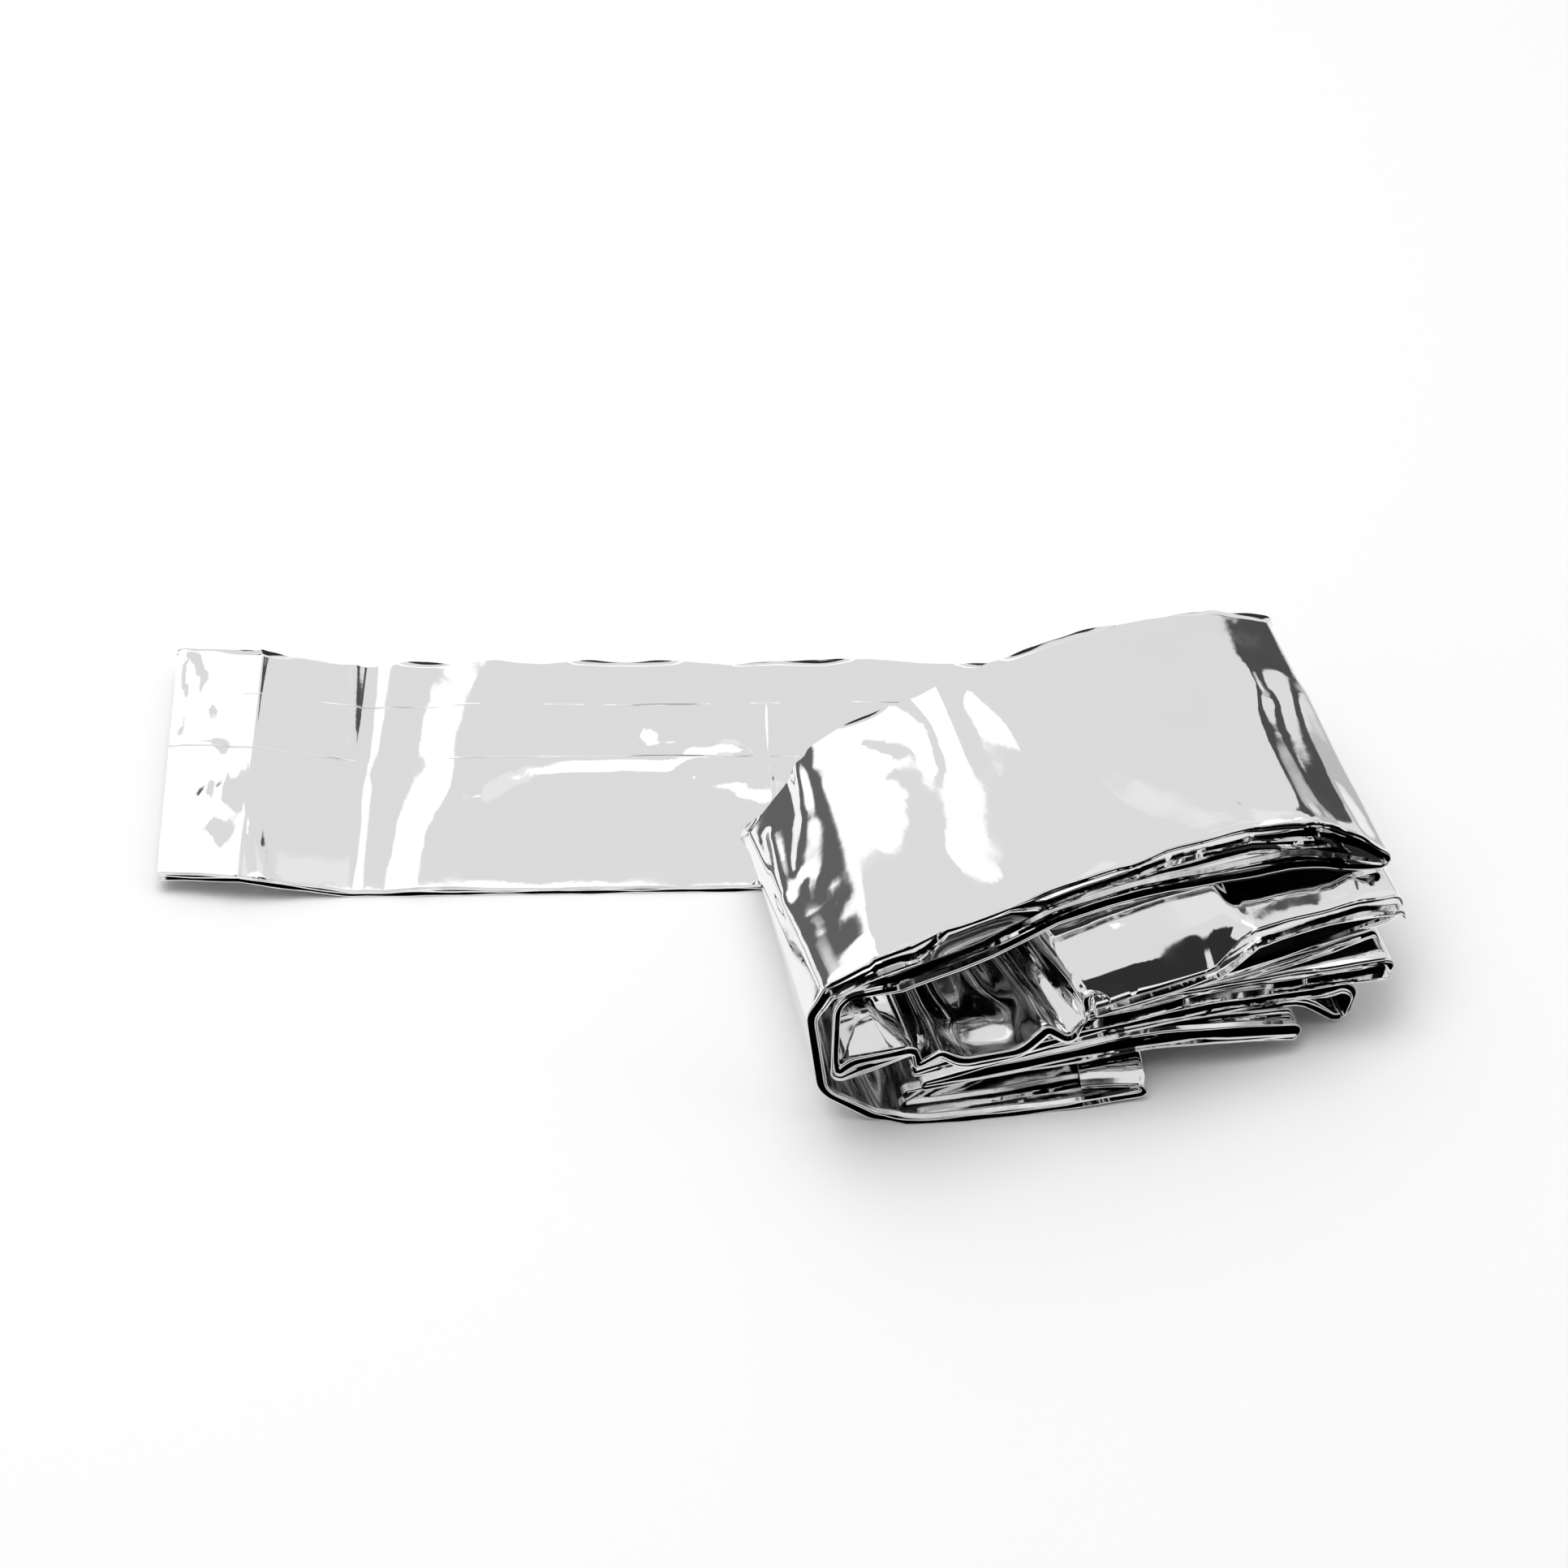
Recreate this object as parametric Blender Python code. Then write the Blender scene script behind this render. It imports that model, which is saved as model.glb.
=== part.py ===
"""Emergency foil blanket, unfolded part of the way.

The blanket is one sheet of metallised film.  It is folded lengthwise into a strip
of sixteen plies, about 10 cm wide, and the strip is folded back and forth into a
bundle.  One end has been pulled out and lies flat on the floor; the other end wraps
the left side of the bundle and tucks under its front.

The solid is the whole stack of plies, swept along the strip from fold to fold.
Metres, +Z up.  The origin is the middle of the footprint, on the floor.
"""
import math
from collections import namedtuple

import bmesh
import bpy
from mathutils import Vector

MM = 0.001
NODE_NAME = "foil_blanket"

# Driving dimensions, in millimetres
STRIP_WIDTH = 98.0
FOOTPRINT_CENTRE = (-4.8, -42.3)
RIM_INSET = 0.35
RIM_HEIGHT = 0.2
TURN_PER_STEP = math.radians(42.0)
LONGEST_STEP = 30.0
SHORTEST_STEP = 0.3
SHARE_OF_SHORT_SIDE = 0.47
INNER_CLEARANCE = 1.2
NEARLY_STRAIGHT = math.radians(1.0)

# Foil finish
FOIL_COLOUR = (0.86, 0.86, 0.88, 1.0)
FOIL_ROUGHNESS = 0.12

# One row for each fold or bend, in the order of the strip, in millimetres and degrees:
#   x, y, z   near end of the crease, in the middle of the stack of plies
#   lean      how far the crease leans to the left as it runs to the back
#   rise      how much higher the back end of the crease is
#   thick     thickness of the stack of plies there
#   bend      length of strip on each side that the bend takes up
Fold = namedtuple("Fold", "name x y z lean rise thick bend")

LOOSE_STRIP = (
    Fold("loose_end", -189.5, -44.6, 5.4, 1.7, -0.4, 2.4, 0.0),
    Fold("first_crease", -164.0, -47.6, 7.4, 0.6, 0.4, 2.4, 1.5),
    Fold("second_crease", -131.5, -47.8, 1.2, 0.0, 0.0, 2.4, 3.0),
    Fold("third_crease", -3.0, -45.4, 1.2, 1.4, 0.0, 2.4, 2.0),
    Fold("fourth_crease", 43.0, -45.0, 1.2, 1.2, 0.0, 2.4, 3.0),
)

LOWER_LAYERS = (
    Fold("turn_under_in", 149.0, -46.0, 1.2, 16.1, 0.0, 2.2, 1.6),
    Fold("turn_under_out", 149.0, -46.0, 4.6, 16.1, 0.0, 2.2, 1.6),
    Fold("crossing", 100.0, -80.5, 10.2, 15.5, -0.6, 1.6, 12.0),
    Fold("left_1_in", 34.0, -127.5, 3.4, 14.8, 3.6, 1.6, 1.1),
    Fold("left_1_out", 34.0, -127.5, 5.8, 14.8, 3.8, 1.6, 1.1),
    Fold("hump_1", 114.0, -115.0, 10.0, 14.0, 6.0, 1.8, 15.0),
    Fold("right_1_in", 149.5, -109.0, 4.4, 14.0, 9.0, 2.2, 1.6),
    Fold("right_1_out", 150.0, -108.6, 7.8, 14.0, 9.2, 2.2, 1.6),
    Fold("hump_2", 114.0, -114.0, 12.8, 14.0, 6.2, 2.0, 15.0),
    Fold("left_2_in", 39.0, -127.0, 8.0, 15.0, 3.8, 1.6, 1.1),
    Fold("left_2_out", 39.0, -127.0, 10.2, 15.0, 4.2, 1.6, 1.1),
    Fold("hump_3", 114.0, -111.5, 15.7, 14.0, 6.0, 2.0, 15.0),
    Fold("beak_3", 152.0, -100.5, 11.6, 14.0, 8.6, 2.2, 5.0),
    Fold("right_2_in", 162.0, -99.0, 2.2, 14.0, 9.0, 2.2, 1.6),
    Fold("right_2_out", 165.6, -98.0, 2.8, 14.0, 9.0, 2.2, 1.6),
    Fold("beak_4", 168.0, -95.0, 13.0, 14.0, 9.0, 2.2, 5.0),
    Fold("shoulder_4", 150.0, -99.0, 15.4, 14.0, 8.6, 2.2, 12.0),
    Fold("hump_4", 114.0, -110.0, 18.8, 14.0, 6.0, 2.0, 15.0),
    Fold("left_3_in", 70.0, -119.0, 14.8, 15.0, 4.8, 1.6, 1.1),
    Fold("left_3_out", 70.0, -119.0, 17.0, 15.0, 5.0, 1.6, 1.1),
    Fold("hump_5", 118.0, -109.0, 22.0, 15.0, 6.0, 2.0, 15.0),
    Fold("right_3_in", 176.0, -96.0, 16.8, 15.0, 7.2, 2.2, 2.4),
    Fold("right_3_out", 177.5, -95.0, 21.6, 15.6, 6.0, 2.4, 2.2),
    Fold("hump_6", 118.0, -109.0, 25.4, 15.0, 6.0, 2.2, 15.0),
    Fold("dip_6", 72.0, -120.5, 19.4, 15.0, 5.2, 1.6, 10.0),
    Fold("left_4_in", 37.0, -128.5, 12.6, 15.6, 4.0, 1.6, 1.1),
    Fold("left_4_out", 37.0, -128.5, 14.8, 15.6, 4.0, 1.6, 1.1),
    Fold("dip_7", 72.0, -121.0, 22.0, 16.0, 5.0, 1.6, 10.0),
    Fold("hump_7", 118.0, -108.0, 29.2, 17.0, 6.0, 2.4, 15.0),
    Fold("right_4_in", 181.0, -84.0, 25.0, 20.0, 7.5, 2.6, 3.6),
)

PLEATED_LAYER = (
    Fold("right_4_out", 182.5, -82.5, 32.2, 20.0, 5.0, 3.0, 3.6),
    Fold("shelf", 160.0, -91.9, 37.4, 20.0, 0.5, 3.2, 12.0),
    Fold("shelf_crease", 136.5, -105.4, 42.0, 22.0, -2.5, 3.2, 4.0),
    Fold("box_middle", 111.0, -118.4, 43.6, 25.0, -5.0, 3.2, 12.0),
    Fold("box_left", 86.0, -127.2, 42.6, 28.0, -4.5, 2.6, 1.5),
    Fold("box_foot", 87.0, -124.6, 30.0, 28.0, 0.0, 2.0, 1.5),
    Fold("facet_foot", 81.5, -128.5, 25.4, 28.0, 4.5, 1.8, 2.0),
    Fold("ridge_right", 75.5, -127.0, 28.6, 28.0, 4.0, 1.8, 1.5),
    Fold("valley_right", 68.0, -130.5, 23.0, 24.0, 4.5, 1.8, 3.0),
    Fold("valley_left", 51.5, -132.0, 20.0, 20.0, 4.5, 1.8, 3.0),
    Fold("ridge_middle", 44.6, -133.0, 24.6, 18.5, 3.0, 1.8, 1.2),
    Fold("pleat_foot", 38.0, -134.0, 17.2, 16.5, 2.5, 1.6, 1.1),
    Fold("ridge_left", 37.6, -135.0, 28.0, 17.0, 1.5, 1.8, 1.5),
    Fold("ramp_foot", 14.4, -135.0, 15.5, 11.5, -2.0, 1.8, 3.0),
)

TOP_AND_WRAP = (
    Fold("inner_wall", 15.2, -133.0, 45.5, 12.0, -22.0, 2.0, 5.0),
    Fold("under_left", 45.0, -122.0, 51.2, 22.0, -18.5, 2.4, 14.0),
    Fold("under_middle", 90.0, -101.5, 54.0, 25.0, -5.0, 2.8, 14.0),
    Fold("under_right", 150.0, -73.5, 45.4, 20.0, 1.0, 2.8, 10.0),
    Fold("right_5_in", 176.0, -71.0, 36.6, 17.0, 4.6, 2.8, 1.8),
    Fold("right_5_out", 177.0, -70.0, 40.8, 17.0, 4.6, 3.0, 1.8),
    Fold("top_right", 159.6, -68.8, 48.4, 17.0, 0.0, 3.4, 2.0),
    Fold("top_middle", 125.0, -85.0, 55.4, 24.0, 0.0, 3.4, 14.0),
    Fold("top_crown", 88.8, -101.5, 59.0, 24.5, -4.0, 3.4, 14.0),
    Fold("top_slope", 57.0, -116.0, 56.6, 25.0, -11.0, 3.4, 10.0),
    Fold("top_left", 30.0, -128.5, 57.6, 19.5, -24.0, 3.0, 8.0),
    Fold("wall_top", 12.7, -136.6, 55.4, 14.3, -30.0, 2.6, 2.0),
    Fold("wall_shoulder", 7.3, -137.0, 45.0, 11.0, -24.0, 2.4, 3.0),
    Fold("wall_low", 11.0, -136.4, 12.0, 11.0, -4.0, 2.4, 4.0),
    Fold("wall_foot", 26.0, -137.2, 1.2, 18.0, 2.8, 2.0, 3.0),
    Fold("front_left", 40.0, -138.0, 0.9, 8.0, 3.0, 1.8, 5.0),
    Fold("front_right", 74.0, -133.5, 0.9, 4.0, 3.0, 1.8, 8.0),
    Fold("tucked_in", 104.0, -129.6, 3.0, 3.0, 0.8, 1.8, 1.6),
    Fold("tucked_out", 104.2, -129.0, 7.0, 3.0, -0.8, 1.6, 1.6),
    Fold("tucked_end", 86.0, -128.0, 5.0, 4.0, 1.0, 1.6, 0.0),
)

FOLDS = LOOSE_STRIP + LOWER_LAYERS + PLEATED_LAYER + TOP_AND_WRAP

Station = namedtuple("Station", "near far thick")


def clear_scene():
    """Remove whatever objects the scene starts with."""
    for scene_object in list(bpy.data.objects):
        bpy.data.objects.remove(scene_object, do_unlink=True)


def crease_ends(fold):
    """Near and back end of a crease, as vectors in millimetres."""
    near = Vector((fold.x - FOOTPRINT_CENTRE[0], fold.y - FOOTPRINT_CENTRE[1], fold.z))
    level = math.sqrt(STRIP_WIDTH ** 2 - fold.rise ** 2)
    lean = math.radians(fold.lean)
    across = Vector((-level * math.sin(lean), level * math.cos(lean), fold.rise))
    return near, near + across


def turn_angle(before, corner, after):
    """How far the path turns at a corner."""
    return (corner - before).angle(after - corner)


def round_corner(before, corner, after, reach, steps):
    """Points on the arc that rounds a corner, starting and ending a reach away from it."""
    start = corner + (before - corner).normalized() * reach
    end = corner + (after - corner).normalized() * reach
    shares = [step / steps for step in range(steps + 1)]
    if turn_angle(before, corner, after) < NEARLY_STRAIGHT:
        return [start.lerp(end, share) for share in shares]
    bisector = (start + end) / 2.0 - corner
    centre = corner + bisector.normalized() * reach ** 2 / bisector.length
    radius = (start - centre).length
    return [centre + (start - centre).slerp(end - centre, share).normalized() * radius for share in shares]


def bend_stations(ends, index):
    """Stations around the bend of one fold."""
    fold = FOLDS[index]
    paths = list(zip(ends[index - 1], ends[index], ends[index + 1]))
    turn = max(turn_angle(*path) for path in paths)
    steps = max(1, math.ceil(turn / TURN_PER_STEP))
    needed = INNER_CLEARANCE * fold.thick / 2.0 * math.tan(turn / 2.0)
    arcs = []
    for before, corner, after in paths:
        shortest = min((corner - before).length, (after - corner).length)
        reach = min(max(fold.bend, needed), SHARE_OF_SHORT_SIDE * shortest)
        arcs.append(round_corner(before, corner, after, reach, steps))
    return [Station(near, far, fold.thick) for near, far in zip(*arcs)]


def strip_stations():
    """Stations along the whole strip, close enough together for twisted panels."""
    ends = [crease_ends(fold) for fold in FOLDS]
    bends = [Station(*ends[0], FOLDS[0].thick)]
    for index in range(1, len(FOLDS) - 1):
        bends += bend_stations(ends, index)
    bends.append(Station(*ends[-1], FOLDS[-1].thick))

    stations = [bends[0]]
    for end in bends[1:]:
        start = stations[-1]
        length = max((end.near - start.near).length, (end.far - start.far).length)
        if length < SHORTEST_STEP:
            continue
        pieces = max(1, math.ceil(length / LONGEST_STEP))
        for piece in range(1, pieces + 1):
            share = piece / pieces
            near = start.near.lerp(end.near, share)
            far = start.far.lerp(end.far, share)
            stations.append(Station(near, far, start.thick + (end.thick - start.thick) * share))
    return stations


def section_profile(thick):
    """Outline of the stack of plies: share of the width, and height as a share of thickness."""
    inset = RIM_INSET * thick / STRIP_WIDTH
    top = [(inset, 0.5), (1.0 - inset, 0.5)]
    back_rim = [(1.0, RIM_HEIGHT), (1.0, -RIM_HEIGHT)]
    bottom = [(1.0 - inset, -0.5), (inset, -0.5)]
    front_rim = [(0.0, -RIM_HEIGHT), (0.0, RIM_HEIGHT)]
    return top + back_rim + bottom + front_rim


def step_direction(here, neighbours, side):
    """Direction to the first neighbour that is not too close, or none at the end of the strip."""
    for neighbour in neighbours:
        step = neighbour[side] - here[side]
        if step.length >= SHORTEST_STEP:
            return step.normalized()
    return Vector()


def path_direction(stations, index, side):
    """Direction of the near or back edge at a station, halfway between the steps on its two sides."""
    here = stations[index]
    onward = step_direction(here, stations[index + 1:], side)
    backward = step_direction(here, stations[:index][::-1], side)
    return onward - backward


def section_points(stations, index):
    """Corners of the stack's outline at one station, in metres."""
    here = stations[index]
    across = here.far - here.near
    normals = [path_direction(stations, index, side).cross(across).normalized() for side in (0, 1)]
    points = []
    for share, height in section_profile(here.thick):
        normal = normals[0].lerp(normals[1], share).normalized()
        points.append((here.near + across * share + normal * height * here.thick) * MM)
    return points


def foil_material():
    """Bright metallised film."""
    material = bpy.data.materials.new("metallised_film")
    material.use_nodes = True
    shader = material.node_tree.nodes["Principled BSDF"]
    shader.inputs["Base Color"].default_value = FOIL_COLOUR
    shader.inputs["Metallic"].default_value = 1.0
    shader.inputs["Roughness"].default_value = FOIL_ROUGHNESS
    return material


def build_blanket():
    """Sweep the stack of plies along the folded strip and close both ends."""
    stations = strip_stations()
    shape = bmesh.new()
    sections = [section_points(stations, index) for index in range(len(stations))]
    rings = [[shape.verts.new(point) for point in section] for section in sections]
    corners = len(rings[0])
    for ring, following in zip(rings, rings[1:]):
        for corner in range(corners):
            beside = (corner + 1) % corners
            shape.faces.new((ring[corner], ring[beside], following[beside], following[corner]))
    shape.faces.new(reversed(rings[0]))
    shape.faces.new(rings[-1])
    bmesh.ops.triangulate(shape, faces=shape.faces[:])
    bmesh.ops.recalc_face_normals(shape, faces=shape.faces[:])

    mesh = bpy.data.meshes.new(NODE_NAME)
    shape.to_mesh(mesh)
    shape.free()
    blanket = bpy.data.objects.new(NODE_NAME, mesh)
    blanket.data.materials.append(foil_material())
    bpy.context.scene.collection.objects.link(blanket)
    return blanket


clear_scene()
build_blanket()
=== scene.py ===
"""Looks of the emergency foil blanket: one sheet of metallised film, folded and part unfolded.

The sheet is folded lengthwise into a strip of sixteen plies, which is folded back and forth.
Sizes are millimetres in the frame of the folds, whose origin is the floor point at the middle
of the picture.  FOOTPRINT_CENTRE moves them into the part's own frame.  The material and the
stage are in metres.
"""
import math
from collections import namedtuple

import bpy
import numpy as np
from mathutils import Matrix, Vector


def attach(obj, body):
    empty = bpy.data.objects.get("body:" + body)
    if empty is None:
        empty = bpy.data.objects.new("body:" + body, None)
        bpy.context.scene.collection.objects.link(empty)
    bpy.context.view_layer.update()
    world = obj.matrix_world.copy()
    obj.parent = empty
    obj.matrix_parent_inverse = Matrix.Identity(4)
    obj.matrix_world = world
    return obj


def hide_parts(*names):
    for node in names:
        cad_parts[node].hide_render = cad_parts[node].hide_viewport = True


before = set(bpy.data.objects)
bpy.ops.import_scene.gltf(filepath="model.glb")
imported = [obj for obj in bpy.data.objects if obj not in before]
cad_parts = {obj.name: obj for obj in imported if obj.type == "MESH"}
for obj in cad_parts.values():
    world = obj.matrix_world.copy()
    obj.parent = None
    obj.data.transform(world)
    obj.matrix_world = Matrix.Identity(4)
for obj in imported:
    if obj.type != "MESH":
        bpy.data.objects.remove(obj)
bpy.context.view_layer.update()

MM = 0.001
FOOTPRINT_CENTRE = np.array((-4.8, -42.3, 0.0))
STRIP_WIDTH = 98.0
PLIES = 16

# ---------------------------------------------------------------- folds of the strip

# One row for each fold or bend, in the order of the strip, in millimetres and degrees:
#   x, y, z   near end of the crease, in the middle of the stack of plies
#   lean      how far the crease leans to the left as it runs to the back
#   rise      how much higher the back end of the crease is
#   thick     thickness of the stack of plies there
#   bend      length of strip on each side that the bend takes up
#   first     how far the first ply lies from the middle at the near edge
#   last      the same for the last ply, on the other side
#   out       how much further the last ply sticks out than the first at the near edge
#   lip       how far the middle of the stack sticks out at the near edge
#   step      longest step between stations in the panel before this fold
Fold = namedtuple("Fold", "name x y z lean rise thick bend first last out lip step")

FOLDS = (
    Fold("loose_end", -189.5, -44.6, 5.4, 1.7, -0.4, 2.4, 0.0, 0.6, 1.1, 0.8, 0.4, 2.0),
    Fold("first_crease", -164.0, -47.6, 7.4, 0.6, 0.4, 2.4, 1.5, 0.5, 1.1, 0.8, 0.4, 1.5),
    Fold("second_crease", -131.5, -47.8, 1.2, 0.0, 0.0, 2.4, 3.0, 0.1, 1.1, 0.8, 0.4, 2.0),
    Fold("third_crease", -3.0, -45.4, 1.2, 1.4, 0.0, 2.4, 2.0, 0.1, 1.1, 0.6, 0.3, 2.0),
    Fold("fourth_crease", 43.0, -45.0, 1.2, 1.2, 0.0, 2.4, 3.0, 0.1, 1.1, 0.6, 0.3, 2.5),
    Fold("turn_under_in", 149.0, -46.0, 1.2, 16.1, 0.0, 2.2, 1.6, 1.1, 1.1, 1.5, 0.8, 4.0),
    Fold("turn_under_out", 149.0, -46.0, 4.6, 16.1, 0.0, 2.2, 1.6, 1.1, 1.1, -1.0, 0.5, 4.0),
    Fold("crossing", 100.0, -80.5, 10.2, 15.5, -0.6, 1.6, 12.0, 0.8, 0.8, 0.0, 0.0, 9.0),
    Fold("left_1_in", 34.0, -127.5, 3.4, 14.8, 3.6, 1.6, 1.1, 0.8, 0.8, 0.0, 4.0, 9.0),
    Fold("left_1_out", 34.0, -127.5, 5.8, 14.8, 3.8, 1.6, 1.1, 0.8, 0.8, 0.0, 4.0, 9.0),
    Fold("hump_1", 114.0, -115.0, 10.0, 14.0, 6.0, 1.8, 15.0, 1.4, 1.4, -1.0, 0.5, 5.0),
    Fold("right_1_in", 149.5, -109.0, 4.4, 14.0, 9.0, 2.2, 1.6, 1.2, 1.4, -2.0, 1.0, 4.0),
    Fold("right_1_out", 150.0, -108.6, 7.8, 14.0, 9.2, 2.2, 1.6, 1.2, 1.4, -2.5, 1.2, 4.0),
    Fold("hump_2", 114.0, -114.0, 12.8, 14.0, 6.2, 2.0, 15.0, 1.4, 1.4, -3.5, 1.8, 4.0),
    Fold("left_2_in", 39.0, -127.0, 8.0, 15.0, 3.8, 1.6, 1.1, 0.8, 0.8, -2.0, 4.0, 8.0),
    Fold("left_2_out", 39.0, -127.0, 10.2, 15.0, 4.2, 1.6, 1.1, 0.8, 0.8, 0.0, 5.0, 8.0),
    Fold("hump_3", 114.0, -111.5, 15.7, 14.0, 6.0, 2.0, 15.0, 1.4, 1.4, 0.0, 0.0, 5.0),
    Fold("beak_3", 152.0, -100.5, 11.6, 14.0, 8.6, 2.2, 5.0, 1.2, 1.4, 1.0, 0.5, 4.0),
    Fold("right_2_in", 162.0, -99.0, 2.2, 14.0, 9.0, 2.2, 1.6, 1.1, 1.1, 1.0, 0.5, 3.0),
    Fold("right_2_out", 165.6, -98.0, 2.8, 14.0, 9.0, 2.2, 1.6, 1.1, 1.1, -1.5, 0.8, 3.0),
    Fold("beak_4", 168.0, -95.0, 13.0, 14.0, 9.0, 2.2, 5.0, 1.2, 1.2, -2.5, 1.2, 3.0),
    Fold("shoulder_4", 150.0, -99.0, 15.4, 14.0, 8.6, 2.2, 12.0, 1.2, 1.4, -3.5, 1.8, 3.0),
    Fold("hump_4", 114.0, -110.0, 18.8, 14.0, 6.0, 2.0, 15.0, 1.4, 1.4, -3.5, 1.8, 4.0),
    Fold("left_3_in", 70.0, -119.0, 14.8, 15.0, 4.8, 1.6, 1.1, 0.8, 0.8, -2.0, 3.0, 7.0),
    Fold("left_3_out", 70.0, -119.0, 17.0, 15.0, 5.0, 1.6, 1.1, 0.8, 0.8, 0.0, 3.0, 7.0),
    Fold("hump_5", 118.0, -109.0, 22.0, 15.0, 6.0, 2.0, 15.0, 1.8, 0.4, 0.0, 0.0, 5.0),
    Fold("right_3_in", 176.0, -96.0, 16.8, 15.0, 7.2, 2.2, 2.4, 1.2, 1.2, 0.0, 0.0, 4.0),
    Fold("right_3_out", 177.5, -95.0, 21.6, 15.6, 6.0, 2.4, 2.2, 1.3, 1.3, -4.0, 2.0, 3.0),
    Fold("hump_6", 118.0, -109.0, 25.4, 15.0, 6.0, 2.2, 15.0, 2.2, 0.0, -4.0, 2.0, 4.0),
    Fold("dip_6", 72.0, -120.5, 19.4, 15.0, 5.2, 1.6, 10.0, 0.8, 0.8, -3.0, 1.5, 6.0),
    Fold("left_4_in", 37.0, -128.5, 12.6, 15.6, 4.0, 1.6, 1.1, 0.8, 0.8, -1.0, 2.0, 7.0),
    Fold("left_4_out", 37.0, -128.5, 14.8, 15.6, 4.0, 1.6, 1.1, 0.8, 0.8, 0.0, 1.0, 7.0),
    Fold("dip_7", 72.0, -121.0, 22.0, 16.0, 5.0, 1.6, 10.0, 0.8, 0.8, 0.0, 0.0, 6.0),
    Fold("hump_7", 118.0, -108.0, 29.2, 17.0, 6.0, 2.4, 15.0, 2.2, 0.2, -3.0, 1.5, 4.0),
    Fold("right_4_in", 181.0, -84.0, 25.0, 20.0, 7.5, 2.6, 3.6, 1.4, 1.4, -1.0, -3.0, 3.0),
    Fold("right_4_out", 182.5, -82.5, 32.2, 20.0, 5.0, 3.0, 3.6, 0.6, 1.0, -5.0, -1.0, 2.0),
    Fold("shelf", 160.0, -91.9, 37.4, 20.0, 0.5, 3.2, 12.0, 0.6, 1.0, -4.0, -1.0, 2.0),
    Fold("shelf_crease", 136.5, -105.4, 42.0, 22.0, -2.5, 3.2, 4.0, 1.0, 1.0, -4.0, -1.0, 2.0),
    Fold("box_middle", 111.0, -118.4, 43.6, 25.0, -5.0, 3.2, 12.0, 1.6, 1.2, -1.0, 0.0, 2.0),
    Fold("box_left", 86.0, -127.2, 42.6, 28.0, -4.5, 2.6, 1.5, 1.4, 1.2, -1.0, 0.0, 2.0),
    Fold("box_foot", 87.0, -124.6, 30.0, 28.0, 0.0, 2.0, 1.5, 1.0, 1.0, 0.5, 0.2, 1.5),
    Fold("facet_foot", 81.5, -128.5, 25.4, 28.0, 4.5, 1.8, 2.0, 1.1, 0.9, -1.5, 0.8, 1.5),
    Fold("ridge_right", 75.5, -127.0, 28.6, 28.0, 4.0, 1.8, 1.5, 1.2, 0.9, -1.5, 0.8, 1.5),
    Fold("valley_right", 68.0, -130.5, 23.0, 24.0, 4.5, 1.8, 3.0, 1.2, 0.9, -1.5, 0.8, 1.5),
    Fold("valley_left", 51.5, -132.0, 20.0, 20.0, 4.5, 1.8, 3.0, 1.2, 0.9, -1.5, 0.8, 1.5),
    Fold("ridge_middle", 44.6, -133.0, 24.6, 18.5, 3.0, 1.8, 1.2, 1.2, 0.9, -1.0, 0.5, 1.5),
    Fold("pleat_foot", 38.0, -134.0, 17.2, 16.5, 2.5, 1.6, 1.1, 0.8, 2.0, 0.0, 0.0, 1.5),
    Fold("ridge_left", 37.6, -135.0, 28.0, 17.0, 1.5, 1.8, 1.5, 1.2, 1.0, -1.0, 0.0, 1.5),
    Fold("ramp_foot", 14.4, -135.0, 15.5, 11.5, -2.0, 1.8, 3.0, 1.2, 1.0, -1.0, 0.0, 1.5),
    Fold("inner_wall", 15.2, -133.0, 45.5, 12.0, -22.0, 2.0, 5.0, 1.2, 1.0, 0.0, 0.0, 4.0),
    Fold("under_left", 45.0, -122.0, 51.2, 22.0, -18.5, 2.4, 14.0, 0.2, 1.4, 3.4, 1.8, 4.0),
    Fold("under_middle", 90.0, -101.5, 54.0, 25.0, -5.0, 2.8, 14.0, 3.2, -1.0, 3.4, 1.6, 4.0),
    Fold("under_right", 150.0, -73.5, 45.4, 20.0, 1.0, 2.8, 10.0, 3.2, -1.0, 3.4, 4.2, 4.0),
    Fold("right_5_in", 176.0, -71.0, 36.6, 17.0, 4.6, 2.8, 1.8, 1.2, 1.2, 0.0, 0.0, 3.0),
    Fold("right_5_out", 177.0, -70.0, 40.8, 17.0, 4.6, 3.0, 1.8, 1.2, 1.2, -2.5, 1.5, 2.0),
    Fold("top_right", 159.6, -68.8, 48.4, 17.0, 0.0, 3.4, 2.0, 0.9, 1.7, -3.5, 1.5, 1.5),
    Fold("top_middle", 125.0, -85.0, 55.4, 24.0, 0.0, 3.4, 14.0, 0.9, 1.9, -3.8, -4.4, 2.0),
    Fold("top_crown", 88.8, -101.5, 59.0, 24.5, -4.0, 3.4, 14.0, 0.9, 1.9, -3.4, -2.6, 2.0),
    Fold("top_slope", 57.0, -116.0, 56.6, 25.0, -11.0, 3.4, 10.0, -0.6, 1.6, -0.8, -3.8, 2.0),
    Fold("top_left", 30.0, -128.5, 57.6, 19.5, -24.0, 3.0, 8.0, 0.2, 1.2, -5.0, 0.5, 2.0),
    Fold("wall_top", 12.7, -136.6, 55.4, 14.3, -30.0, 2.6, 2.0, 0.8, 1.0, -5.0, 1.0, 1.5),
    Fold("wall_shoulder", 7.3, -137.0, 45.0, 11.0, -24.0, 2.4, 3.0, 1.6, 1.0, -2.0, 1.0, 1.5),
    Fold("wall_low", 11.0, -136.4, 12.0, 11.0, -4.0, 2.4, 4.0, 1.6, 1.2, -1.0, 0.5, 2.0),
    Fold("wall_foot", 26.0, -137.2, 1.2, 18.0, 2.8, 2.0, 3.0, 1.6, 1.0, 0.0, 0.0, 2.0),
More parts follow.
